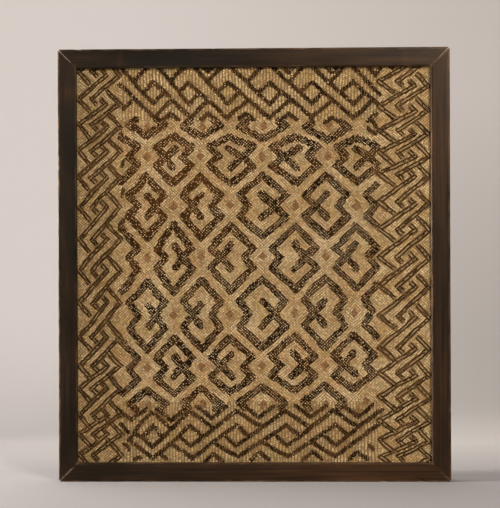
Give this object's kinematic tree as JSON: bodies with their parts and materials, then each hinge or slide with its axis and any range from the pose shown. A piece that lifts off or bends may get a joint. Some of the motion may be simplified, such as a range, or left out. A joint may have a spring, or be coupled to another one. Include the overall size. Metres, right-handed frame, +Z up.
{
  "type": "kuba raffia cloth in a wooden frame",
  "caption": "Flat embroidered raffia cloth panel held by its edges in a groove of a mitred dark wooden frame that stands on its bottom rail or hangs by its back.",
  "frame": {"origin": "middle of the underside of the bottom rail", "axes": "+Z up along the height of the frame, +X to the viewer's right, the cloth faces -Y and the frame's back faces +Y"},
  "size_m": [0.6, 0.032, 0.663],
  "materials": {
    "stained_wood": "dark brown stain, worn satin",
    "raffia": "straw raffia with black-brown embroidery, matt"
  },
  "bodies": {
    "root": {"rail_bottom": "stained_wood", "rail_left": "stained_wood", "rail_top": "stained_wood", "rail_right": "stained_wood", "cloth": "raffia"}
  },
  "joints": []
}
